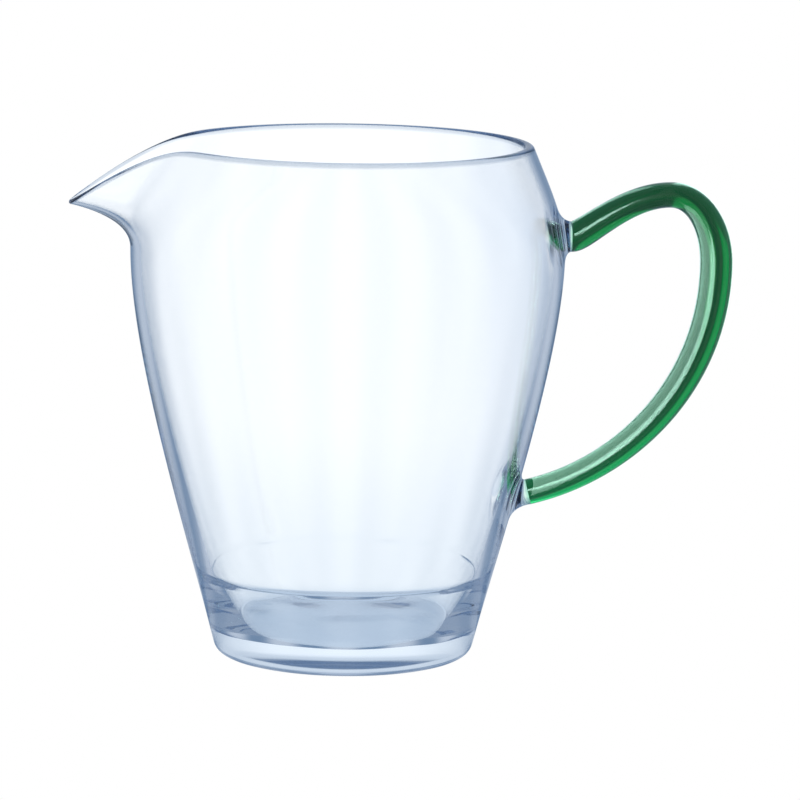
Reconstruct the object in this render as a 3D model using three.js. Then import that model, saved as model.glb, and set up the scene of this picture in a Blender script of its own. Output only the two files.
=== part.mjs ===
// Glass tea pitcher: a blown clear vessel with a drawn spout, and a green glass rod for a handle.
// Millimetres, +Z up. The origin is on the vessel's axis at its flat underside.
// The spout points to -X and the handle to +X.
import * as THREE from 'three';

const { degToRad, lerp, smoothstep } = THREE.MathUtils;

// Vessel
const BODY_HEIGHT = 100;
const BASE_RADIUS = 24.9;
const HEEL_HEIGHT = 2.2;
const BELLY_RADIUS = 42.05;
const SHOULDER_HEIGHT = 20.5;
const RIM_RADIUS = 35.75;
const WALL = 1.85;
const FOOT_THICKENING = 0.7;
const FLOOR_THICKNESS = 5.7;
const FLOOR_INSET = 4;
const FLOOR_CORNER_RISE = 10.3;

// Lean of the wall and of the inner corner, as outward run for each unit of rise
const BASE_LEAN = 0.25;
const RIM_LEAN = -0.41;
const FLOOR_CORNER_LEAN = 0.36;

// Spout: how far the tip stands out from the belly and hangs below the rim, how wide the pull is,
// and how thin the glass gets at the tip
const SPOUT_LENGTH = 11.75;
const SPOUT_DROP = 12.6;
const SPOUT_TIP_RISE = degToRad(11.5);
const SPOUT_SPREAD = degToRad(16.5);
const SPOUT_DROOP_POWER = 1.2;
const SPOUT_LIP = 0.8;

// Welds of the handle: the upper one is measured down from the rim, the lower one up from the table
const UPPER_WELD_DROP = 17.6;
const UPPER_WELD_TILT = degToRad(0);
const UPPER_SEAL_RADIUS = 5.7;
const UPPER_SEAL_LENGTH = 1.9;
const LOWER_WELD_HEIGHT = 31.6;
const LOWER_WELD_TILT = degToRad(14);
const LOWER_SEAL_RADIUS = 5.5;
const LOWER_SEAL_LENGTH = 3;
const WELD_BUMP = 1.8;
const WELD_BUMP_SPREAD = 4.2;
const JOIN_GAP = 0.3;

// Handle: room for the fingers beside the belly, place of the crown, and half sizes of the rod
const FINGER_ROOM = 26.1;
const HANDLE_REACH_DROP = 22.8;
const HANDLE_CROWN_DROP = 9.2;
const HANDLE_CROWN_SETBACK = 9;
const ROD_UPPER_RADIUS = 2.95;
const ROD_CROWN_RADIUS = 2.45;
const ROD_GRIP_RADIUS = 3.15;
const ROD_LOWER_RADIUS = 2.5;
const ROD_SIDE_RADIUS = 3.1;

// Tightness of each curve, as a share of the curve's own span at its start and at its end
const WALL_PULL = [0.26, 0.27];
const SHOULDER_PULL = [0.3, 0.34];
const SPOUT_PULL = [0.52, 0.46];
const FLOOR_CORNER_PULL = [0.65, 0.1];
const HANDLE_RISE_PULL = [0.13, 0.46];
const HANDLE_BEND_PULL = [0.56, 0.58];
const HANDLE_SWEEP_PULL = [0.5, 0.57];

// Fineness of the facets
const COLUMNS = 72;
const COLUMN_CROWDING = 0.45;
const HEEL_STEPS = 2;
const WALL_STEPS = 7;
const SHOULDER_STEPS = 8;
const RIM_STEPS = 4;
const FLOOR_CORNER_STEPS = 5;
const SEAL_SIDES = 20;
const SEAL_FOOT_RINGS = 3;
const SEAL_FLARE_STEPS = 4;
const ROD_SIDES = 14;
const ROD_STEPS = [9, 8, 16];
const SLOPE_STEP = 0.001;

const UP = new THREE.Vector3(0, 0, 1);
const ACROSS = new THREE.Vector3(0, 1, 0);
const OUTWARD = new THREE.Vector3(1, 0, 0);

// Profile curves: x is the distance from the axis and y is the height
const bellyHeight = BODY_HEIGHT - SHOULDER_HEIGHT;
const belly = new THREE.Vector2(BELLY_RADIUS, bellyHeight);
const rimEdgeHeight = BODY_HEIGHT - (WALL / 2) * (1 - Math.sin(Math.atan(-RIM_LEAN)));
const rimEdge = new THREE.Vector2(RIM_RADIUS, rimEdgeHeight);
const spoutTip = new THREE.Vector2(BELLY_RADIUS + SPOUT_LENGTH, BODY_HEIGHT - SPOUT_DROP);
const wallFoot = new THREE.Vector2(BASE_RADIUS + BASE_LEAN * HEEL_HEIGHT, HEEL_HEIGHT);

function leaningPoint(from, lean, rise) {
  return new THREE.Vector2(from.x + lean * rise, from.y + rise);
}

const heel = new THREE.QuadraticBezierCurve(
  new THREE.Vector2(BASE_RADIUS - HEEL_HEIGHT, 0),
  new THREE.Vector2(BASE_RADIUS, 0),
  wallFoot,
);

const wallRise = bellyHeight - HEEL_HEIGHT;
const lowerWall = new THREE.CubicBezierCurve(
  wallFoot,
  leaningPoint(wallFoot, BASE_LEAN, WALL_PULL[0] * wallRise),
  leaningPoint(belly, 0, -WALL_PULL[1] * wallRise),
  belly,
);

const shoulderRise = rimEdgeHeight - bellyHeight;
const shoulder = new THREE.CubicBezierCurve(
  belly,
  leaningPoint(belly, 0, SHOULDER_PULL[0] * shoulderRise),
  leaningPoint(rimEdge, RIM_LEAN, -SHOULDER_PULL[1] * shoulderRise),
  rimEdge,
);

const spoutRise = spoutTip.y - bellyHeight;
const spoutRun = SPOUT_PULL[1] * SPOUT_LENGTH;
const spoutLine = new THREE.CubicBezierCurve(
  belly,
  leaningPoint(belly, 0, SPOUT_PULL[0] * spoutRise),
  new THREE.Vector2(spoutTip.x - spoutRun, spoutTip.y - spoutRun * Math.tan(SPOUT_TIP_RISE)),
  spoutTip,
);

// Share of a rising curve, 0 to 1, at which it passes a height
function shareAtHeight(curve, height) {
  let low = 0;
  let high = 1;
  while (high - low > SLOPE_STEP * SLOPE_STEP) {
    const middle = (low + high) / 2;
    if (curve.getPoint(middle).y < height) low = middle;
    else high = middle;
  }
  return (low + high) / 2;
}

function wallRadiusAt(height) {
  const curve = height < bellyHeight ? lowerWall : shoulder;
  return curve.getPoint(shareAtHeight(curve, height)).x;
}

// Point on the outside of the round wall, beside the handle, moved out by a clearance
function wallPoint(sideways, height, clearance) {
  const radius = wallRadiusAt(height) + clearance;
  return new THREE.Vector3(Math.sqrt(radius * radius - sideways * sideways), sideways, height);
}

// A weld: where the seal sits on the wall, which way it stands, and where its neck and the rod's end are
function makeWeld(height, tilt, sealRadius, sealLength, rodRadius) {
  const direction = OUTWARD.clone().applyAxisAngle(ACROSS, -tilt);
  const foot = wallPoint(0, height, JOIN_GAP);
  const neck = foot.clone().addScaledVector(direction, sealLength);
  const rodEnd = neck.clone().addScaledVector(direction, JOIN_GAP);
  return { direction, foot, neck, rodEnd, sealRadius, rodRadius };
}

const upperWeld = makeWeld(
  BODY_HEIGHT - UPPER_WELD_DROP,
  UPPER_WELD_TILT,
  UPPER_SEAL_RADIUS,
  UPPER_SEAL_LENGTH,
  ROD_UPPER_RADIUS,
);
const lowerWeld = makeWeld(
  LOWER_WELD_HEIGHT,
  LOWER_WELD_TILT,
  LOWER_SEAL_RADIUS,
  LOWER_SEAL_LENGTH,
  ROD_LOWER_RADIUS,
);

// Closed skin over rings of points that turn the same way about the line they follow, with a fan at each end
function loft(rings) {
  const sides = rings[0].length;
  const points = rings.flat();
  const startCentre = points.length;
  const endCentre = startCentre + 1;
  const lastRing = (rings.length - 1) * sides;
  points.push(middleOf(rings[0]), middleOf(rings[rings.length - 1]));
  const triangles = [];
  for (let side = 0; side < sides; side += 1) {
    const next = (side + 1) % sides;
    triangles.push(startCentre, next, side);
    for (let ring = 0; ring < lastRing; ring += sides) {
      triangles.push(ring + side, ring + next, ring + sides + next);
      triangles.push(ring + side, ring + sides + next, ring + sides + side);
    }
    triangles.push(endCentre, lastRing + side, lastRing + next);
  }
  const geometry = new THREE.BufferGeometry().setFromPoints(points);
  geometry.setIndex(triangles);
  geometry.computeVertexNormals();
  return geometry;
}

function middleOf(ring) {
  const middle = new THREE.Vector3();
  for (const point of ring) middle.addScaledVector(point, 1 / ring.length);
  return middle;
}

// Turn angles of the vessel's columns, closer together towards the spout
function columnAngles() {
  const angles = [];
  for (let column = 0; column < COLUMNS; column += 1) {
    const turn = (2 * Math.PI * column) / COLUMNS;
    angles.push(Math.PI + turn - COLUMN_CROWDING * Math.sin(turn));
  }
  return angles;
}

const ANGLES = columnAngles();

function onTurn(profilePoint, angle) {
  const x = profilePoint.x * Math.cos(angle);
  const y = profilePoint.x * Math.sin(angle);
  return new THREE.Vector3(x, y, profilePoint.y);
}

// How much of the spout's pull is felt at a turn angle: 1 in the middle of the spout, fading to 0
function spoutPull(angle) {
  const away = Math.atan2(Math.sin(angle - Math.PI), Math.cos(angle - Math.PI));
  return Math.exp(-((away / SPOUT_SPREAD) ** 2));
}

// Outer skin: along runs from 0 at the heel to 1 at the belly and 2 at the rim
function outerPoint(along, angle) {
  if (along <= 1) return onTurn(lowerWall.getPoint(along), angle);
  const plain = shoulder.getPoint(along - 1);
  const drawn = spoutLine.getPoint(along - 1);
  const pull = spoutPull(angle);
  const radius = lerp(plain.x, drawn.x, pull);
  const height = lerp(plain.y, drawn.y, pull ** SPOUT_DROOP_POWER);
  return onTurn(new THREE.Vector2(radius, height), angle);
}

function outerFrame(along, angle) {
  const point = outerPoint(along, angle);
  const rise = outerPoint(Math.min(along + SLOPE_STEP, 2), angle).sub(outerPoint(along - SLOPE_STEP, angle));
  const turn = outerPoint(along, angle + SLOPE_STEP).sub(outerPoint(along, angle - SLOPE_STEP));
  return { point, rise: rise.clone().normalize(), out: turn.cross(rise).normalize() };
}

// The wall is thicker towards the foot and thinner where the spout is drawn out of it.
// The hot welds push it in, so it is also thicker behind them
function wallThicknessAt(point, along, angle) {
  const low = Math.max(1 - point.z / bellyHeight, 0);
  const drawn = spoutPull(angle) * smoothstep(along, 1, 2);
  let thickness = lerp(WALL, SPOUT_LIP, drawn) + FOOT_THICKENING * low * low;
  for (const weld of [upperWeld, lowerWeld]) {
    const away = point.distanceTo(weld.foot) / WELD_BUMP_SPREAD;
    thickness += WELD_BUMP * Math.exp(-away * away);
  }
  return thickness;
}

function innerPoint(along, angle) {
  const { point, out } = outerFrame(along, angle);
  return point.clone().addScaledVector(out, -wallThicknessAt(point, along, angle));
}

// Half round over the edge of the wall, from the outside (share 0) to the inside (share 1)
function rimPoint(share, angle) {
  const { point, rise, out } = outerFrame(2, angle);
  const radius = wallThicknessAt(point, 2, angle) / 2;
  const turn = Math.PI * share;
  const centre = point.addScaledVector(out, -radius);
  centre.addScaledVector(out, radius * Math.cos(turn));
  return centre.addScaledVector(rise, radius * Math.sin(turn));
}

// Inside of the thick base: from the inner wall round to the flat floor
function makeFloorCorner() {
  const top = shareAtHeight(lowerWall, FLOOR_THICKNESS + FLOOR_CORNER_RISE);
  const wallTop = innerPoint(top, Math.PI / 2);
  const start = new THREE.Vector2(wallTop.y, wallTop.z);
  const end = new THREE.Vector2(BASE_RADIUS - FLOOR_INSET, FLOOR_THICKNESS);
  const drop = start.y - end.y;
  const run = start.x - end.x;
  const curve = new THREE.CubicBezierCurve(
    start,
    leaningPoint(start, FLOOR_CORNER_LEAN, -FLOOR_CORNER_PULL[0] * drop),
    new THREE.Vector2(end.x + FLOOR_CORNER_PULL[1] * run, end.y),
    end,
  );
  return { top, curve };
}

function makeBody() {
  const rings = [];
  const addRing = (pointAt) => rings.push(ANGLES.map(pointAt));
  for (const point of heel.getPoints(HEEL_STEPS)) {
    addRing((angle) => onTurn(point, angle));
  }
  for (let step = 1; step <= WALL_STEPS; step += 1) {
    addRing((angle) => outerPoint(step / WALL_STEPS, angle));
  }
  for (let step = 1; step <= SHOULDER_STEPS; step += 1) {
    addRing((angle) => outerPoint(1 + step / SHOULDER_STEPS, angle));
  }
  for (let step = 1; step < RIM_STEPS; step += 1) {
    addRing((angle) => rimPoint(step / RIM_STEPS, angle));
  }
  for (let step = SHOULDER_STEPS; step >= 1; step -= 1) {
    addRing((angle) => innerPoint(1 + step / SHOULDER_STEPS, angle));
  }
  const floorCorner = makeFloorCorner();
  for (let step = WALL_STEPS; step >= 1; step -= 1) {
    addRing((angle) => innerPoint(lerp(floorCorner.top, 1, step / WALL_STEPS), angle));
  }
  for (const point of floorCorner.curve.getPoints(FLOOR_CORNER_STEPS)) {
    addRing((angle) => onTurn(point, angle));
  }
  return loft(rings);
}

// Flared bead of glass: lies on the wall, then narrows to the rod's end
function makeSeal(weld) {
  const rings = [];
  const lift = weld.direction.clone().cross(ACROSS);
  const angles = Array.from({ length: SEAL_SIDES }, (_, side) => (2 * Math.PI * side) / SEAL_SIDES);
  const onWall = (radius, angle) => {
    const height = weld.foot.z + radius * Math.sin(angle);
    return wallPoint(radius * Math.cos(angle), height, JOIN_GAP);
  };
  const onNeck = (angle) => {
    const point = weld.neck.clone().addScaledVector(ACROSS, weld.rodRadius * Math.cos(angle));
    return point.addScaledVector(lift, weld.rodRadius * Math.sin(angle));
  };
  for (let ring = 1; ring < SEAL_FOOT_RINGS; ring += 1) {
    const radius = (weld.sealRadius * ring) / SEAL_FOOT_RINGS;
    rings.push(angles.map((angle) => onWall(radius, angle)));
  }
  const flares = angles.map((angle) => new THREE.QuadraticBezierCurve3(
    onWall(weld.sealRadius, angle),
    onWall(weld.rodRadius, angle),
    onNeck(angle),
  ));
  for (let step = 0; step <= SEAL_FLARE_STEPS; step += 1) {
    rings.push(flares.map((flare) => flare.getPoint(step / SEAL_FLARE_STEPS)));
  }
  return loft(rings);
}

// Curve between two points that leaves along one direction and arrives along another
function handleCurve(start, startDirection, startPull, end, endDirection, endPull) {
  return new THREE.CubicBezierCurve3(
    start,
    start.clone().addScaledVector(startDirection, startPull),
    end.clone().addScaledVector(endDirection, -endPull),
    end,
  );
}

// The ear: up from the shoulder to the crown, round the bend, and down the long sweep to the lower wall
function makeHandlePath() {
  const reach = BELLY_RADIUS + FINGER_ROOM + ROD_GRIP_RADIUS;
  const crown = new THREE.Vector3(reach - HANDLE_CROWN_SETBACK, 0, BODY_HEIGHT - HANDLE_CROWN_DROP);
  const side = new THREE.Vector3(reach, 0, BODY_HEIGHT - HANDLE_REACH_DROP);
  const down = UP.clone().negate();
  const inward = lowerWeld.direction.clone().negate();
  const riseRun = crown.x - upperWeld.rodEnd.x;
  const sweepDrop = side.z - lowerWeld.rodEnd.z;
  const sweepRun = side.x - lowerWeld.rodEnd.x;
  const rise = handleCurve(
    upperWeld.rodEnd,
    upperWeld.direction,
    HANDLE_RISE_PULL[0] * riseRun,
    crown,
    OUTWARD,
    HANDLE_RISE_PULL[1] * riseRun,
  );
  const bend = handleCurve(
    crown,
    OUTWARD,
    HANDLE_BEND_PULL[0] * HANDLE_CROWN_SETBACK,
    side,
    down,
    HANDLE_BEND_PULL[1] * (crown.z - side.z),
  );
  const sweep = handleCurve(
    side,
    down,
    HANDLE_SWEEP_PULL[0] * sweepDrop,
    lowerWeld.rodEnd,
    inward,
    HANDLE_SWEEP_PULL[1] * sweepRun,
  );
  return [rise, bend, sweep];
}

function makeHandle() {
  const path = makeHandlePath();
  const thickness = [ROD_UPPER_RADIUS, ROD_CROWN_RADIUS, ROD_GRIP_RADIUS, ROD_LOWER_RADIUS];
  const width = [ROD_UPPER_RADIUS, ROD_SIDE_RADIUS, ROD_SIDE_RADIUS, ROD_LOWER_RADIUS];
  const rings = [];
  path.forEach((curve, part) => {
    const firstStep = part === 0 ? 0 : 1;
    for (let step = firstStep; step <= ROD_STEPS[part]; step += 1) {
      const share = step / ROD_STEPS[part];
      const change = smoothstep(share, 0, 1);
      const centre = curve.getPoint(share);
      const across = ACROSS.clone().multiplyScalar(lerp(width[part], width[part + 1], change));
      const lift = ACROSS.clone().cross(curve.getTangent(share));
      lift.multiplyScalar(lerp(thickness[part], thickness[part + 1], change));
      rings.push(ellipse(centre, lift, across));
    }
  });
  return loft(rings);
}

function ellipse(centre, first, second) {
  const ring = [];
  for (let side = 0; side < ROD_SIDES; side += 1) {
    const angle = (2 * Math.PI * side) / ROD_SIDES;
    const point = centre.clone().addScaledVector(first, Math.cos(angle));
    ring.push(point.addScaledVector(second, Math.sin(angle)));
  }
  return ring;
}

const clearGlass = {
  color: 0xdfe9f3,
  roughness: 0.04,
  metalness: 0,
  transparent: true,
  opacity: 0.35,
};
const greenGlass = {
  color: 0x1f8a52,
  roughness: 0.04,
  metalness: 0,
  transparent: true,
  opacity: 0.85,
};

function addPiece(group, name, geometry, finish) {
  const mesh = new THREE.Mesh(geometry, new THREE.MeshStandardMaterial(finish));
  mesh.name = name;
  group.add(mesh);
}

const pitcher = new THREE.Group();
addPiece(pitcher, 'glass_body', makeBody(), clearGlass);
addPiece(pitcher, 'upper_handle_seal', makeSeal(upperWeld), clearGlass);
addPiece(pitcher, 'lower_handle_seal', makeSeal(lowerWeld), clearGlass);
addPiece(pitcher, 'handle', makeHandle(), greenGlass);

export default pitcher;
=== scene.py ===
import math
import bpy
import numpy as np
from mathutils import Matrix, Vector, noise


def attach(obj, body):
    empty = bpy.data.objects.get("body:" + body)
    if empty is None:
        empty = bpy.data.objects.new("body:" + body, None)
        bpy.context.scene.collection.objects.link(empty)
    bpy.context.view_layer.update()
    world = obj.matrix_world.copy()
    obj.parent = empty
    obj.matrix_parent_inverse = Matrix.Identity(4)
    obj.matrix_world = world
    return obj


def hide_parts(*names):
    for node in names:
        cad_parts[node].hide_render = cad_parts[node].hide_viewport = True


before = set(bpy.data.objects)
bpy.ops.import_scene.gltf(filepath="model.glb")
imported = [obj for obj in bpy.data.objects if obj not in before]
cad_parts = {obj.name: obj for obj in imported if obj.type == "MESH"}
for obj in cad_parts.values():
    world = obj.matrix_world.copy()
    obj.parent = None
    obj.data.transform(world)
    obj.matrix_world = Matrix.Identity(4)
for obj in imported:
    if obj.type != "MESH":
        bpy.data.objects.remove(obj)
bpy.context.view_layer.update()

# Glass tea pitcher: a blown clear vessel with a drawn spout, and a green glass rod for a handle.
# The part's sizes are millimetres in the frame of the CAD model: +Z up, spout to -X, handle to +X.
# The studio around it is in metres.
MM = 0.001

# Vessel
BODY_HEIGHT = 100.0
BASE_RADIUS = 24.9
HEEL_HEIGHT = 2.2
BELLY_RADIUS = 42.05
SHOULDER_HEIGHT = 20.5
RIM_RADIUS = 35.75
WALL = 1.85
FOOT_THICKENING = 1.6
BASE_LEAN = 0.25
RIM_LEAN = -0.41
RIM_ROUND = 0.65
RIM_SQUARENESS = 0.75

# Inside of the thick base
FLOOR_THICKNESS = 5.7
FLOOR_INSET = 4.0
FLOOR_CORNER_RISE = 10.3
FLOOR_CORNER_LEAN = 0.36
LEDGE_WIDTH = 0.22
LEDGE_DROP = 0.25
FLOOR_WAVE = 0.4
CORNER_WAVE = 0.25
WAVE_LENGTH = 9.0

# Spout
SPOUT_LENGTH = 11.75
SPOUT_DROP = 12.6
SPOUT_TIP_RISE = math.radians(11.5)
SPOUT_SPREAD = math.radians(16.5)
SPOUT_DROOP_POWER = 1.2
SPOUT_LIP = 0.8

# Welds of the handle
UPPER_WELD_DROP = 17.6
UPPER_WELD_TILT = math.radians(0.0)
UPPER_SEAL_RADIUS = 5.7
UPPER_SEAL_LENGTH = 1.2
LOWER_WELD_HEIGHT = 31.6
LOWER_WELD_TILT = math.radians(14.0)
LOWER_SEAL_RADIUS = 5.5
LOWER_SEAL_LENGTH = 2.2
WELD_BUMP = 1.8
WELD_BUMP_SPREAD = 4.2
JOIN_GAP = 0.3
FUSED_OVERLAP = 0.03

# Handle
FINGER_ROOM = 26.1
HANDLE_REACH_DROP = 22.8
HANDLE_CROWN_DROP = 9.2
HANDLE_CROWN_SETBACK = 9.0
ROD_UPPER_RADIUS = 2.95
ROD_CROWN_RADIUS = 2.45
ROD_GRIP_RADIUS = 3.15
ROD_LOWER_RADIUS = 2.5
ROD_SIDE_RADIUS = 3.1

# Tightness of each curve, as a share of the curve's own span at its start and at its end
WALL_PULL = (0.26, 0.27)
SHOULDER_PULL = (0.3, 0.34)
SPOUT_PULL = (0.52, 0.46)
FLOOR_CORNER_PULL = (0.65, 0.1)
HANDLE_RISE_PULL = (0.13, 0.46)
HANDLE_BEND_PULL = (0.56, 0.58)
HANDLE_SWEEP_PULL = (0.5, 0.57)

# Fineness of the meshes
COLUMNS = 240
DISC_RINGS = 10
HEEL_STEPS = 10
WALL_STEPS = 56
SHOULDER_STEPS = 44
RIM_STEPS = 18
LEDGE_STEPS = 4
FLOOR_CORNER_STEPS = 24
PATCH_RINGS = 4
FLARE_STEPS = 12
NECK_RINGS = 3
ROD_SIDES = 96
ROD_STEPS = (72, 60, 150)
SLOPE_STEP = 0.001
HEIGHT_HALVINGS = 30

# Room that is cut out of the wall's mesh for a seal, as a share of the seal's radius
SEAL_PATCH = 1.25

# Glass: the tint that it lets through, how much of the rest it absorbs per metre, and a faint ripple
GLASS_IOR = 1.52
CLEAR_TINT = (0.1, 0.4, 0.72)
CLEAR_DENSITY = 5.0
CLEAR_ROUGHNESS = 0.0
GREEN_TINT = (0.0, 0.65, 0.45)
GREEN_DENSITY = 1350.0
GREEN_ROUGHNESS = 0.14
RIPPLE_SCALE = 55.0
RIPPLE_DETAIL = 1.0
RIPPLE_STRENGTH = 0.02
RIPPLE_DEPTH = 0.001

# Marked places of the glass: the rim's edge is greyer with painted shade, and the welds take on some green
RIM_SHADE_MARK = "painted_rim_shade"
RIM_SHADE_TINT = (0.42, 0.47, 0.55)
WELD_MARK = "weld_end"
WELD_TINT = (0.3, 0.72, 0.48)
WELD_TINT_POWER = 4
TINTS = {RIM_SHADE_MARK: RIM_SHADE_TINT, WELD_MARK: WELD_TINT}

# Table, with painted shade: bluer on one side, darker under the base and faintly darker round it. Each fade
# runs between two distances.
WHITE = (1.0, 1.0, 1.0)
TABLE_COLOUR = (1.12, 1.16, 1.19)
SHADED_SIDE_COLOUR = (0.84, 0.93, 1.05)
TABLE_FADE = (-0.02, 0.16)
SHADED_SIDE_FADE = (0.12, 0.4)
FAR_FADE = (0.6, 1.6)
SHADE_COLOUR = (0.55, 0.64, 0.75)
SHADE_FADE = (0.01, 0.05)
WIDE_SHADE_COLOUR = (0.87, 0.9, 0.925)
WIDE_SHADE_FADE = (0.04, 0.25)
FLOOR_HALF_SIZE = 6.0
FLOOR_DROP = 0.0002

# Surroundings: the sky dims upwards, by the height of a direction, and the glass mirrors a ring of panels
WORLD_LOW = (0.75, 0.82, 0.9)
HORIZON_FADE = (0.03, 0.22)
WORLD_HIGH = (0.3, 0.38, 0.5)
OVERHEAD_FADE = (0.2, 0.8)
PANEL_COUNT = 10.0
PANEL_COLOUR = (0.5, 0.58, 0.7)
PANEL_GAP = (0.17, 0.26, 0.4)
MIRRORED_AGAIN = (0.3, 0.37, 0.48)
LIGHT_BOUNCES = 96

# Upright light panels for the handle: name, place, width, bottom and top, lean, radiance
SOFTBOXES = (
    ("softbox_front", (-0.03, -0.314), 0.08, (0.0, 0.22), 0.0, 13.0),
    ("softbox_left", (-0.105, -0.28), 0.09, (0.0, 0.22), 0.0, 9.0),
    ("softbox_vessel", (0.0418, -0.0075), 0.055, (0.022, 0.08), 0.21, 5.0),
    ("softbox_back_left", (-0.056, 0.272), 0.12, (0.0, 0.58), 0.0, 2.5),
    ("softbox_back_right", (0.144, 0.342), 0.1, (0.0, 0.58), 0.0, 2.4),
)
SOFTBOX_COLOUR = (0.58, 1.0, 0.82)
SOFTBOX_AIM = (0.07, 0.0)

# Camera
CAMERA_PLACE = (0.0105, -0.9, 0.2008)
CAMERA_PITCH = math.radians(9.52)
CAMERA_ROLL = math.radians(0.85)
CAMERA_FOCAL_PIXELS = 4692.0
FRAME_PIXELS = 800.0
SENSOR_WIDTH = 36.0
CAMERA_FAR = 50.0

ACROSS = np.array((0.0, 1.0, 0.0))
OUTWARD = np.array((1.0, 0.0, 0.0))
UP = np.array((0.0, 0.0, 1.0))


# Curves
def bezier(points, share):
    """Points of a Bezier curve of any degree at an array of shares."""
    layer = [np.multiply.outer(np.ones_like(share), np.asarray(p, float)) for p in points]
    share = np.asarray(share, float)[..., None]
    while len(layer) > 1:
        layer = [a + (b - a) * share for a, b in zip(layer, layer[1:])]
    return layer[0]


def smooth(share):
    return share * share * (3 - 2 * share)


def unit(vectors):
    return vectors / np.linalg.norm(vectors, axis=-1, keepdims=True)


def leaning_point(start, lean, rise):
    return (start[0] + lean * rise, start[1] + rise)


belly_height = BODY_HEIGHT - SHOULDER_HEIGHT
belly = (BELLY_RADIUS, belly_height)
rim_edge_height = BODY_HEIGHT - RIM_ROUND * math.cos(math.atan(RIM_LEAN))
rim_edge = (RIM_RADIUS, rim_edge_height)
spout_tip = (BELLY_RADIUS + SPOUT_LENGTH, BODY_HEIGHT - SPOUT_DROP)
wall_foot = (BASE_RADIUS + BASE_LEAN * HEEL_HEIGHT, HEEL_HEIGHT)
wall_rise = belly_height - HEEL_HEIGHT
shoulder_rise = rim_edge_height - belly_height
spout_run = SPOUT_PULL[1] * SPOUT_LENGTH
floor_radius = BASE_RADIUS - FLOOR_INSET

# Profiles of the vessel, as radius and height
HEEL = ((BASE_RADIUS - HEEL_HEIGHT, 0.0), (BASE_RADIUS, 0.0), wall_foot)
LOWER_WALL = (
    wall_foot,
    leaning_point(wall_foot, BASE_LEAN, WALL_PULL[0] * wall_rise),
    leaning_point(belly, 0.0, -WALL_PULL[1] * wall_rise),
    belly,
)
SHOULDER = (
    belly,
    leaning_point(belly, 0.0, SHOULDER_PULL[0] * shoulder_rise),
    leaning_point(rim_edge, RIM_LEAN, -SHOULDER_PULL[1] * shoulder_rise),
    rim_edge,
)
SPOUT_LINE = (
    belly,
    leaning_point(belly, 0.0, SPOUT_PULL[0] * (spout_tip[1] - belly_height)),
    (spout_tip[0] - spout_run, spout_tip[1] - spout_run * math.tan(SPOUT_TIP_RISE)),
    spout_tip,
)


def share_at_height(curve, height):
    """Share of a rising curve at which it passes each height."""
    low = np.zeros_like(np.asarray(height, float))
    high = np.ones_like(low)
    for _ in range(HEIGHT_HALVINGS):
        middle = (low + high) / 2
        below = bezier(curve, middle)[..., 1] < height
        low = np.where(below, middle, low)
        high = np.where(below, high, middle)
    return (low + high) / 2


def wall_radius_at(height):
    height = np.asarray(height, float)
    low_part = bezier(LOWER_WALL, share_at_height(LOWER_WALL, height))[..., 0]
    high_part = bezier(SHOULDER, share_at_height(SHOULDER, height))[..., 0]
    return np.where(height < belly_height, low_part, high_part)


def wall_point(sideways, height, clearance=0.0):
    """Points on the outside of the round wall beside the handle."""
    radius = wall_radius_at(height) + clearance
    sideways = np.asarray(sideways, float)
    height = np.broadcast_to(np.asarray(height, float), sideways.shape)
    return np.stack((np.sqrt(radius**2 - sideways**2), sideways, height), axis=-1)


class Weld:
    """Where a seal sits on the wall, which way it stands, and where its neck and the rod's end are."""

    def __init__(self, height, tilt, seal_radius, seal_length, rod_radius):
        self.height = height
        self.seal_radius = seal_radius
        self.rod_radius = rod_radius
        self.direction = np.array((math.cos(tilt), 0.0, math.sin(tilt)))
        self.lift = np.array((-math.sin(tilt), 0.0, math.cos(tilt)))
        self.foot = wall_point(np.array(0.0), height, JOIN_GAP)
        self.neck = self.foot + self.direction * seal_length
        self.rod_end = self.neck - self.direction * FUSED_OVERLAP


UPPER_WELD = Weld(
    BODY_HEIGHT - UPPER_WELD_DROP, UPPER_WELD_TILT,
    UPPER_SEAL_RADIUS, UPPER_SEAL_LENGTH, ROD_UPPER_RADIUS,
)
LOWER_WELD = Weld(
    LOWER_WELD_HEIGHT, LOWER_WELD_TILT,
    LOWER_SEAL_RADIUS, LOWER_SEAL_LENGTH, ROD_LOWER_RADIUS,
)
WELDS = (UPPER_WELD, LOWER_WELD)


# Skin of the vessel
ANGLES = -math.pi + 2 * math.pi * np.arange(COLUMNS) / COLUMNS


def on_turn(radius, height, angle):
    radius = np.broadcast_to(radius, np.shape(angle))
    height = np.broadcast_to(height, np.shape(angle))
    return np.stack((radius * np.cos(angle), radius * np.sin(angle), height), axis=-1)


def spout_pull(angle):
    """How far the skin is drawn into the spout: 1 at the middle of the spout, fading to 0 beside it."""
    away = np.arctan2(np.sin(angle - math.pi), np.cos(angle - math.pi))
    return np.exp(-((away / SPOUT_SPREAD) ** 2))


def outer_point(along, angle):
    """Outer skin: along runs from 0 at the heel to 1 at the belly and 2 at the rim."""
    if along <= 1:
        radius, height = bezier(LOWER_WALL, np.array(along))
        return on_turn(radius, height, angle)
    plain = bezier(SHOULDER, np.array(along - 1))
    drawn = bezier(SPOUT_LINE, np.array(along - 1))
    pull = spout_pull(angle)
    radius = plain[0] + (drawn[0] - plain[0]) * pull
    height = plain[1] + (drawn[1] - plain[1]) * pull**SPOUT_DROOP_POWER
    return on_turn(radius, height, angle)


def outer_frame(along, angle):
    """Point of the outer skin, the way up along the skin and the way out of it."""
    point = outer_point(along, angle)
    rise = outer_point(min(along + SLOPE_STEP, 2), angle) - outer_point(along - SLOPE_STEP, angle)
    turn = outer_point(along, angle + SLOPE_STEP) - outer_point(along, angle - SLOPE_STEP)
    return point, unit(rise), unit(np.cross(turn, rise))


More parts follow.
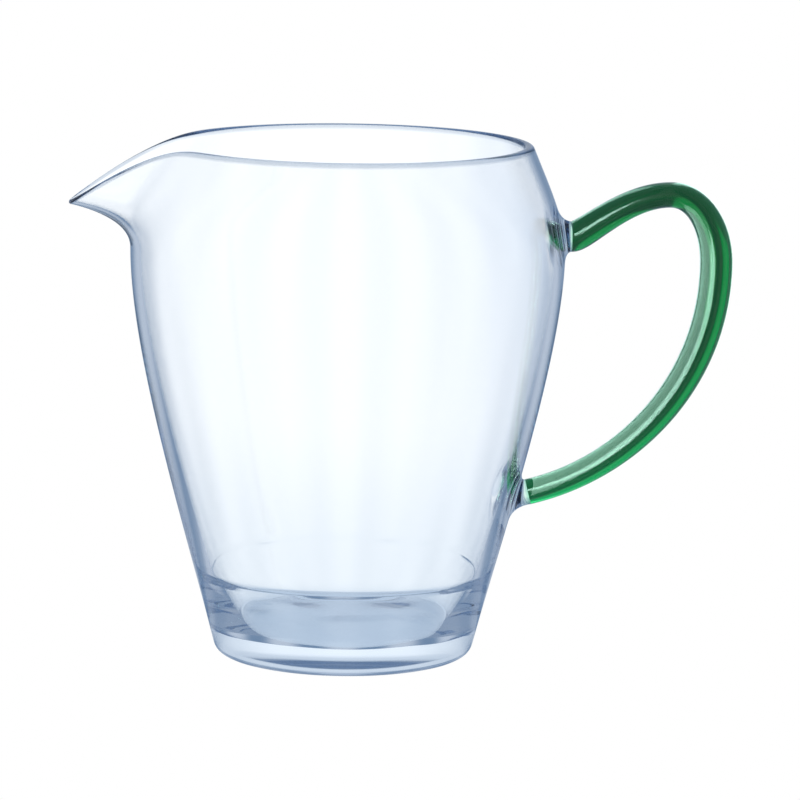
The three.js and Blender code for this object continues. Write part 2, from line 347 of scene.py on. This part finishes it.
def wall_thickness_at(points, along, angle):
    """Wall, thicker towards the foot and behind the welds, thinner towards the lip of the spout."""
    low = np.clip(1 - points[..., 2] / belly_height, 0, 1)
    thickness = WALL + FOOT_THICKENING * low * low
    thickness += (SPOUT_LIP - WALL) * spout_pull(angle) * smooth(max(along - 1, 0))
    for weld in WELDS:
        away = np.linalg.norm(points - weld.foot, axis=-1) / WELD_BUMP_SPREAD
        thickness += WELD_BUMP * np.exp(-away * away)
    return thickness


def inner_point(along, angle):
    point, _, out = outer_frame(along, angle)
    return point - out * wall_thickness_at(point, along, angle)[..., None]


def rim_point(share, angle):
    """Level top of the rim with rounded corners, from its outer edge to its inner edge."""
    point, rise, out = outer_frame(2, angle)
    half_wall = wall_thickness_at(point, 2, angle)[..., None] / 2
    turn = math.pi * share
    across = math.copysign(abs(math.cos(turn)) ** RIM_SQUARENESS, math.cos(turn))
    height = math.sin(turn) ** RIM_SQUARENESS
    level = -RIM_LEAN * (1 - spout_pull(angle))[..., None]
    lift = RIM_ROUND * half_wall / (WALL / 2) + half_wall * (1 - across) * level
    return point + out * half_wall * (across - 1) + rise * lift * height


def floor_corner():
    """Inside of the thick base: where it leaves the wall, and its curve down to the flat floor."""
    top = float(share_at_height(LOWER_WALL, FLOOR_THICKNESS + FLOOR_CORNER_RISE))
    wall_top = inner_point(top, np.array(math.pi / 2))
    start = (wall_top[1] - LEDGE_WIDTH, wall_top[2] - LEDGE_DROP)
    end = (floor_radius, FLOOR_THICKNESS)
    curve = (
        start,
        leaning_point(start, FLOOR_CORNER_LEAN, -FLOOR_CORNER_PULL[0] * (start[1] - end[1])),
        (end[0] + FLOOR_CORNER_PULL[1] * (start[0] - end[0]), end[1]),
        end,
    )
    return top, curve


def waved(points, height):
    """Points of the inner base, raised and lowered as hot glass settles."""
    waves = [noise.noise(Vector(point) / WAVE_LENGTH) for point in points]
    return points + np.multiply.outer(np.array(waves) * height, UP)


class Skin:
    """Collects points and faces of one closed mesh."""

    def __init__(self):
        self.points = []
        self.faces = []
        self.sharp = []
        self.marks = {mark: {} for mark in TINTS}

    def add_ring(self, points):
        first = len(self.points)
        self.points.extend(map(tuple, points))
        return list(range(first, len(self.points)))

    def bridge(self, ring, next_ring, skip=()):
        count = len(ring)
        for side in range(count):
            if side in skip:
                continue
            after = (side + 1) % count
            self.faces.append((ring[side], ring[after], next_ring[after], next_ring[side]))

    def cap(self, ring, point, flipped=False):
        centre = self.add_ring([point])[0]
        for side, corner in enumerate(ring):
            after = ring[(side + 1) % len(ring)]
            self.faces.append((centre, after, corner) if flipped else (centre, corner, after))

    def mark(self, name, ring, value):
        self.marks[name].update(dict.fromkeys(ring, value))

    def mark_sharp(self, ring):
        self.sharp.extend(zip(ring, ring[1:] + ring[:1]))

    def make(self, name, material):
        mesh = bpy.data.meshes.new(name)
        mesh.from_pydata([(x * MM, y * MM, z * MM) for x, y, z in self.points], [], self.faces)
        mesh.validate()
        wanted = {tuple(sorted(edge)) for edge in self.sharp}
        for edge in mesh.edges:
            edge.use_edge_sharp = tuple(sorted(edge.vertices)) in wanted
        for face in mesh.polygons:
            face.use_smooth = True
        for mark, values in self.marks.items():
            layer = mesh.attributes.new(mark, "FLOAT", "POINT")
            for index, value in values.items():
                layer.data[index].value = value
        mesh.materials.append(material)
        piece = bpy.data.objects.new(name, mesh)
        bpy.context.scene.collection.objects.link(piece)
        return piece


def add_seal(skin, weld, boundary):
    """Fills a hole in the outer skin with the flared bead that grows out of the wall to the rod's end."""
    edge = np.array([skin.points[index] for index in boundary])
    angle = np.arctan2(edge[:, 2] - weld.height, edge[:, 1])

    def on_wall(radius):
        return wall_point(radius * np.cos(angle), weld.height + radius * np.sin(angle))

    foot = on_wall(weld.seal_radius)
    ring = boundary
    for step in range(1, PATCH_RINGS + 1):
        mixed = edge + (foot - edge) * step / PATCH_RINGS
        next_ring = skin.add_ring(wall_point(mixed[:, 1], mixed[:, 2]))
        skin.bridge(ring, next_ring)
        ring = next_ring
    turn = np.cos(angle)[:, None] * ACROSS + np.sin(angle)[:, None] * weld.lift
    neck = weld.neck + weld.rod_radius * turn
    crook = on_wall(weld.rod_radius)
    for step in range(1, FLARE_STEPS + 1):
        share = step / FLARE_STEPS
        points = foot * (1 - share) ** 2 + crook * 2 * share * (1 - share) + neck * share**2
        next_ring = skin.add_ring(points)
        skin.bridge(ring, next_ring)
        skin.mark(WELD_MARK, next_ring, share**WELD_TINT_POWER)
        ring = next_ring
    skin.mark_sharp(ring)
    for step in range(1, NECK_RINGS):
        next_ring = skin.add_ring(neck + (weld.neck - neck) * step / NECK_RINGS)
        skin.bridge(ring, next_ring)
        ring = next_ring
    skin.cap(ring, weld.neck)


def outer_rings():
    """Underside and heel, then the outer wall: two lists of rings from the axis up to the rim."""
    under = []
    for step in range(1, DISC_RINGS):
        under.append(on_turn(HEEL[0][0] * step / DISC_RINGS, 0.0, ANGLES))
    for radius, height in bezier(HEEL, np.linspace(0, 1, HEEL_STEPS + 1)):
        under.append(on_turn(radius, height, ANGLES))
    wall = [outer_point(step / WALL_STEPS, ANGLES) for step in range(1, WALL_STEPS + 1)]
    wall += [outer_point(1 + step / SHOULDER_STEPS, ANGLES) for step in range(1, SHOULDER_STEPS + 1)]
    return under, wall


def inner_rings():
    """Inner wall, ledge, corner and floor: a list of rings from the rim down to the axis."""
    corner_top, corner = floor_corner()
    rings = []
    for step in range(SHOULDER_STEPS, 0, -1):
        rings.append(inner_point(1 + step / SHOULDER_STEPS, ANGLES))
    for step in range(WALL_STEPS, 0, -1):
        rings.append(inner_point(corner_top + (1 - corner_top) * step / WALL_STEPS, ANGLES))
    wall_end = inner_point(corner_top, ANGLES)
    corner_start = on_turn(*corner[0], ANGLES)
    for step in range(1, LEDGE_STEPS):
        rings.append(wall_end + (corner_start - wall_end) * (step / LEDGE_STEPS))
    for radius, height in bezier(corner, np.linspace(0, 1, FLOOR_CORNER_STEPS + 1)):
        rings.append(waved(on_turn(radius, height, ANGLES), CORNER_WAVE))
    for step in range(DISC_RINGS - 1, 0, -1):
        flat = on_turn(floor_radius * step / DISC_RINGS, FLOOR_THICKNESS, ANGLES)
        rings.append(waved(flat, FLOOR_WAVE))
    return rings


def make_body(material):
    """Rings from the underside over the rim down to the floor, with a seal set into a hole at each weld."""
    skin = Skin()
    under, wall = outer_rings()
    rim = [rim_point(step / RIM_STEPS, ANGLES) for step in range(1, RIM_STEPS)]
    rings = under + wall + rim + inner_rings()
    outer_start = len(under)
    outer_end = outer_start + len(wall)
    indexes = [skin.add_ring(ring) for ring in rings]
    # Painted shade: the rings round the rim's outer edge and top are marked to be tinted greyer.
    for ring in indexes[outer_end - 1:outer_end + RIM_STEPS // 2]:
        skin.mark(RIM_SHADE_MARK, ring, 1.0)

    holes = {}
    for weld in WELDS:
        room = weld.seal_radius * SEAL_PATCH
        wall_radius = float(wall_radius_at(weld.height))
        columns = [c for c, angle in enumerate(ANGLES) if abs(angle) * wall_radius < room]
        heights = [rings[row][COLUMNS // 2][2] for row in range(outer_end)]
        rows = [row for row in range(outer_start, outer_end) if abs(heights[row] - weld.height) < room]
        for row in rows[:-1]:
            holes.setdefault(row, set()).update(columns[:-1])
        bottom = [indexes[rows[0]][c] for c in columns]
        right = [indexes[row][columns[-1]] for row in rows[1:]]
        top = [indexes[rows[-1]][c] for c in reversed(columns[:-1])]
        left = [indexes[row][columns[0]] for row in reversed(rows[1:-1])]
        add_seal(skin, weld, bottom + right + top + left)

    for row in range(len(rings) - 1):
        skin.bridge(indexes[row], indexes[row + 1], holes.get(row, ()))
    skin.cap(indexes[0], (0.0, 0.0, 0.0), flipped=True)
    skin.cap(indexes[-1], waved(np.array([(0.0, 0.0, FLOOR_THICKNESS)]), FLOOR_WAVE)[0])
    return skin.make("clear_glass_vessel", material)


# Handle
def handle_curve(start, start_direction, start_pull, end, end_direction, end_pull):
    """Points of a Bezier curve that leaves its start and reaches its end in the given directions."""
    return (start, start + start_direction * start_pull, end - end_direction * end_pull, end)


def handle_path():
    """Rise from the upper weld to the crown, bend over to the side, and sweep down to the lower weld."""
    reach = BELLY_RADIUS + FINGER_ROOM + ROD_GRIP_RADIUS
    crown = np.array((reach - HANDLE_CROWN_SETBACK, 0.0, BODY_HEIGHT - HANDLE_CROWN_DROP))
    side = np.array((reach, 0.0, BODY_HEIGHT - HANDLE_REACH_DROP))
    rise_run = crown[0] - UPPER_WELD.rod_end[0]
    sweep_drop = side[2] - LOWER_WELD.rod_end[2]
    sweep_run = side[0] - LOWER_WELD.rod_end[0]
    rise = handle_curve(
        UPPER_WELD.rod_end, UPPER_WELD.direction, HANDLE_RISE_PULL[0] * rise_run,
        crown, OUTWARD, HANDLE_RISE_PULL[1] * rise_run,
    )
    bend = handle_curve(
        crown, OUTWARD, HANDLE_BEND_PULL[0] * HANDLE_CROWN_SETBACK,
        side, -UP, HANDLE_BEND_PULL[1] * (crown[2] - side[2]),
    )
    sweep = handle_curve(
        side, -UP, HANDLE_SWEEP_PULL[0] * sweep_drop,
        LOWER_WELD.rod_end, -LOWER_WELD.direction, HANDLE_SWEEP_PULL[1] * sweep_run,
    )
    return rise, bend, sweep


def make_handle(material):
    """Rod whose thickness and width change along the path, closed at both ends."""
    skin = Skin()
    thickness = (ROD_UPPER_RADIUS, ROD_CROWN_RADIUS, ROD_GRIP_RADIUS, ROD_LOWER_RADIUS)
    width = (ROD_UPPER_RADIUS, ROD_SIDE_RADIUS, ROD_SIDE_RADIUS, ROD_LOWER_RADIUS)
    turn = 2 * math.pi * np.arange(ROD_SIDES) / ROD_SIDES
    stations = []
    for part, curve in enumerate(handle_path()):
        for step in range(0 if part == 0 else 1, ROD_STEPS[part] + 1):
            share = step / ROD_STEPS[part]
            change = smooth(share)
            centre = bezier(curve, np.array(share))
            low = bezier(curve, np.array(max(share - SLOPE_STEP, 0)))
            high = bezier(curve, np.array(min(share + SLOPE_STEP, 1)))
            lift = np.cross(ACROSS, unit(high - low))
            half_thick = thickness[part] + (thickness[part + 1] - thickness[part]) * change
            half_wide = width[part] + (width[part + 1] - width[part]) * change
            stations.append((centre, lift * half_thick, ACROSS * half_wide))

    def section(station, size=1.0):
        centre, lift, across = station
        return centre + size * (np.cos(turn)[:, None] * lift + np.sin(turn)[:, None] * across)

    rings = [section(stations[0], step / NECK_RINGS) for step in range(1, NECK_RINGS)]
    rings += [section(station) for station in stations]
    rings += [section(stations[-1], step / NECK_RINGS) for step in range(NECK_RINGS - 1, 0, -1)]
    indexes = [skin.add_ring(ring) for ring in rings]
    for ring, next_ring in zip(indexes, indexes[1:]):
        skin.bridge(ring, next_ring)
    skin.cap(indexes[0], stations[0][0], flipped=True)
    skin.cap(indexes[-1], stations[-1][0])
    skin.mark_sharp(indexes[NECK_RINGS - 1])
    skin.mark_sharp(indexes[-NECK_RINGS])
    return skin.make("green_glass_handle", material)


# Node helpers. They link sockets, and set plain numbers and colours as the socket's own value.
def calculate(nodes, links, operation, *values):
    node = nodes.new("ShaderNodeMath")
    node.operation = operation
    for socket, value in zip(node.inputs, values):
        if isinstance(value, float):
            socket.default_value = value
        else:
            links.new(value, socket)
    return node.outputs["Value"]


def fade(nodes, links, value, start, end, low=0.0, high=1.0):
    """Smooth change from low to high while the value goes from start to end."""
    node = nodes.new("ShaderNodeMapRange")
    node.interpolation_type = "SMOOTHSTEP"
    node.inputs["From Min"].default_value = start
    node.inputs["From Max"].default_value = end
    node.inputs["To Min"].default_value = low
    node.inputs["To Max"].default_value = high
    links.new(value, node.inputs["Value"])
    return node.outputs["Result"]


def mix(nodes, links, share, first, second, blend="MIX"):
    node = nodes.new("ShaderNodeMix")
    node.data_type = "RGBA"
    node.blend_type = blend
    links.new(share, node.inputs["Factor"])
    for name, colour in (("A", first), ("B", second)):
        if isinstance(colour, tuple):
            node.inputs[name].default_value = (*colour, 1.0)
        else:
            links.new(colour, node.inputs[name])
    return node.outputs["Result"]


def split_axes(nodes, links, coordinates):
    node = nodes.new("ShaderNodeSeparateXYZ")
    links.new(coordinates, node.inputs["Vector"])
    return node.outputs["X"], node.outputs["Y"], node.outputs["Z"]


# Materials
def glass_material(name, tint, density, roughness):
    """Refracting glass that absorbs light in its volume, coloured at its marks (painted shade greys the
    rim's edge, the welds go green) and slightly rippled.
    """
    material = bpy.data.materials.new(name)
    material.use_nodes = True
    nodes, links = material.node_tree.nodes, material.node_tree.links
    nodes.clear()
    output = nodes.new("ShaderNodeOutputMaterial")
    glass = nodes.new("ShaderNodeBsdfPrincipled")
    glass.inputs["Roughness"].default_value = roughness
    glass.inputs["IOR"].default_value = GLASS_IOR
    glass.inputs["Transmission Weight"].default_value = 1.0
    absorb = nodes.new("ShaderNodeVolumeAbsorption")
    absorb.inputs["Color"].default_value = (*tint, 1.0)
    absorb.inputs["Density"].default_value = density
    colour = WHITE
    # Painted shade greys the marked rim edge; the marked welds are tinted green.
    for mark, mark_tint in TINTS.items():
        marked = nodes.new("ShaderNodeAttribute")
        marked.attribute_name = mark
        colour = mix(nodes, links, marked.outputs["Fac"], colour, mark_tint)
    place = nodes.new("ShaderNodeTexCoord")
    waves = nodes.new("ShaderNodeTexNoise")
    waves.inputs["Scale"].default_value = RIPPLE_SCALE
    waves.inputs["Detail"].default_value = RIPPLE_DETAIL
    bump = nodes.new("ShaderNodeBump")
    bump.inputs["Strength"].default_value = RIPPLE_STRENGTH
    bump.inputs["Distance"].default_value = RIPPLE_DEPTH
    links.new(place.outputs["Object"], waves.inputs["Vector"])
    links.new(waves.outputs["Fac"], bump.inputs["Height"])
    links.new(bump.outputs["Normal"], glass.inputs["Normal"])
    links.new(colour, glass.inputs["Base Color"])
    links.new(glass.outputs["BSDF"], output.inputs["Surface"])
    links.new(absorb.outputs["Volume"], output.inputs["Volume"])
    return material


def emission_material(name):
    """Material that only glows, white at first, and the socket for its colour."""
    material = bpy.data.materials.new(name)
    material.use_nodes = True
    nodes = material.node_tree.nodes
    nodes.clear()
    output = nodes.new("ShaderNodeOutputMaterial")
    glow = nodes.new("ShaderNodeEmission")
    material.node_tree.links.new(glow.outputs["Emission"], output.inputs["Surface"])
    return material, glow.inputs["Color"]


# Studio
def panels(nodes, links, x, y):
    """Ring of tall pale panels with dim gaps between them, which the glass mirrors."""
    around = calculate(nodes, links, "ARCTAN2", y, x)
    repeat = calculate(nodes, links, "MULTIPLY", around, PANEL_COUNT)
    wave = calculate(nodes, links, "COSINE", repeat)
    return mix(nodes, links, fade(nodes, links, wave, 1.0, -1.0), PANEL_GAP, PANEL_COLOUR)


def mirrored(nodes, links, x, y, seen_through):
    """Colour of the studio: what the glass lets through, or mirrors once, or more than once."""
    times = nodes.new("ShaderNodeLightPath").outputs["Glossy Depth"]
    once = calculate(nodes, links, "GREATER_THAN", times, 0.5)
    again = calculate(nodes, links, "GREATER_THAN", times, 1.5)
    colour = mix(nodes, links, once, seen_through, panels(nodes, links, x, y))
    return mix(nodes, links, again, colour, MIRRORED_AGAIN)


def table_material():
    """White table as the glass sees it, with painted shade: bluer to one side, darker near the base and
    faintly darker round it.
    """
    material, glow = emission_material("studio_table")
    nodes, links = material.node_tree.nodes, material.node_tree.links
    place = nodes.new("ShaderNodeTexCoord").outputs["Object"]
    x, y, _ = split_axes(nodes, links, place)
    length = nodes.new("ShaderNodeVectorMath")
    length.operation = "LENGTH"
    links.new(place, length.inputs[0])
    away = length.outputs["Value"]
    # Painted shade: the table turns bluer on its +x side, fading back to white further out and far away.
    across = fade(nodes, links, x, *TABLE_FADE)
    beyond = fade(nodes, links, x, *SHADED_SIDE_FADE, 1.0, 0.0)
    far = fade(nodes, links, away, *FAR_FADE, 1.0, 0.0)
    band = calculate(nodes, links, "MULTIPLY", across, beyond)
    side = calculate(nodes, links, "MULTIPLY", band, far)
    colour = mix(nodes, links, side, TABLE_COLOUR, SHADED_SIDE_COLOUR)
    # Painted shade near the base, then a faint wide painted shade round it.
    for reach, shade in ((SHADE_FADE, SHADE_COLOUR), (WIDE_SHADE_FADE, WIDE_SHADE_COLOUR)):
        near = fade(nodes, links, away, *reach, 1.0, 0.0)
        colour = mix(nodes, links, near, colour, shade, "MULTIPLY")
    links.new(mirrored(nodes, links, x, y, colour), glow)
    return material


def make_ground(name, material):
    mesh = bpy.data.meshes.new(name)
    corners = [(-1, -1), (1, -1), (1, 1), (-1, 1)]
    points = [(x * FLOOR_HALF_SIZE, y * FLOOR_HALF_SIZE, -FLOOR_DROP) for x, y in corners]
    mesh.from_pydata(points, [], [(0, 1, 2, 3)])
    mesh.materials.append(material)
    ground = bpy.data.objects.new(name, mesh)
    bpy.context.scene.collection.objects.link(ground)
    return ground


def make_floor():
    """Plain white floor for the camera, and the studio's table for what the glass mirrors and bends."""
    white, _ = emission_material("studio_floor")
    floor = make_ground("studio_floor", white)
    floor.visible_glossy = False
    floor.visible_transmission = False
    floor.visible_diffuse = False
    floor.visible_shadow = False
    table = make_ground("studio_table", table_material())
    table.visible_camera = False


def make_world():
    """Soft light all round: white like the table near the horizon, and dimmer overhead."""
    world = bpy.data.worlds.new("studio")
    world.use_nodes = True
    nodes, links = world.node_tree.nodes, world.node_tree.links
    x, y, z = split_axes(nodes, links, nodes.new("ShaderNodeTexCoord").outputs["Generated"])
    colour = TABLE_COLOUR
    for next_colour, reach in ((WORLD_LOW, HORIZON_FADE), (WORLD_HIGH, OVERHEAD_FADE)):
        colour = mix(nodes, links, fade(nodes, links, z, *reach), colour, next_colour)
    seen_plainly = nodes.new("ShaderNodeLightPath").outputs["Is Camera Ray"]
    backdrop = mix(nodes, links, seen_plainly, mirrored(nodes, links, x, y, colour), WHITE)
    links.new(backdrop, nodes["Background"].inputs["Color"])
    bpy.context.scene.world = world


def make_softbox(name, place, width, height, lean, radiance, receivers):
    """Panel of light that faces the handle and lights nothing else."""
    bottom, top = height
    light = bpy.data.lights.new(name, "AREA")
    light.shape = "RECTANGLE"
    light.color = SOFTBOX_COLOUR
    light.size = width
    light.size_y = top - bottom
    light.energy = radiance * math.pi * width * (top - bottom)
    lamp = bpy.data.objects.new(name, light)
    away = Vector((place[0] - SOFTBOX_AIM[0], place[1] - SOFTBOX_AIM[1], 0.0)).normalized()
    away.z = lean
    lamp.location = (*place, (bottom + top) / 2)
    lamp.rotation_euler = away.to_track_quat("Z", "Y").to_euler()
    lamp.visible_camera = False
    lamp.light_linking.receiver_collection = receivers
    bpy.context.scene.collection.objects.link(lamp)


def make_camera():
    data = bpy.data.cameras.new("camera")
    data.sensor_width = SENSOR_WIDTH
    data.lens = SENSOR_WIDTH * CAMERA_FOCAL_PIXELS / FRAME_PIXELS
    data.clip_end = CAMERA_FAR
    camera = bpy.data.objects.new("camera", data)
    pitch = Matrix.Rotation(math.pi / 2 - CAMERA_PITCH, 4, "X")
    roll = Matrix.Rotation(CAMERA_ROLL, 4, "Z")
    camera.matrix_world = Matrix.Translation(CAMERA_PLACE) @ pitch @ roll
    bpy.context.scene.collection.objects.link(camera)
    bpy.context.scene.camera = camera


# Pieces of the part
clear_glass = glass_material("clear_glass", CLEAR_TINT, CLEAR_DENSITY, CLEAR_ROUGHNESS)
green_glass = glass_material("green_glass", GREEN_TINT, GREEN_DENSITY, GREEN_ROUGHNESS)

body = make_body(clear_glass)
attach(body, "root")
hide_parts("glass_body", "upper_handle_seal", "lower_handle_seal")

handle = make_handle(green_glass)
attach(handle, "root")
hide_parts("handle")

# Stage, lights and camera
handle_only = bpy.data.collections.new("softbox_receivers")
handle_only.objects.link(handle)
for softbox in SOFTBOXES:
    make_softbox(*softbox, handle_only)
make_floor()
make_world()
make_camera()
scene = bpy.context.scene
scene.view_settings.view_transform = "Standard"
scene.cycles.max_bounces = LIGHT_BOUNCES
scene.cycles.transmission_bounces = LIGHT_BOUNCES
scene.cycles.glossy_bounces = LIGHT_BOUNCES
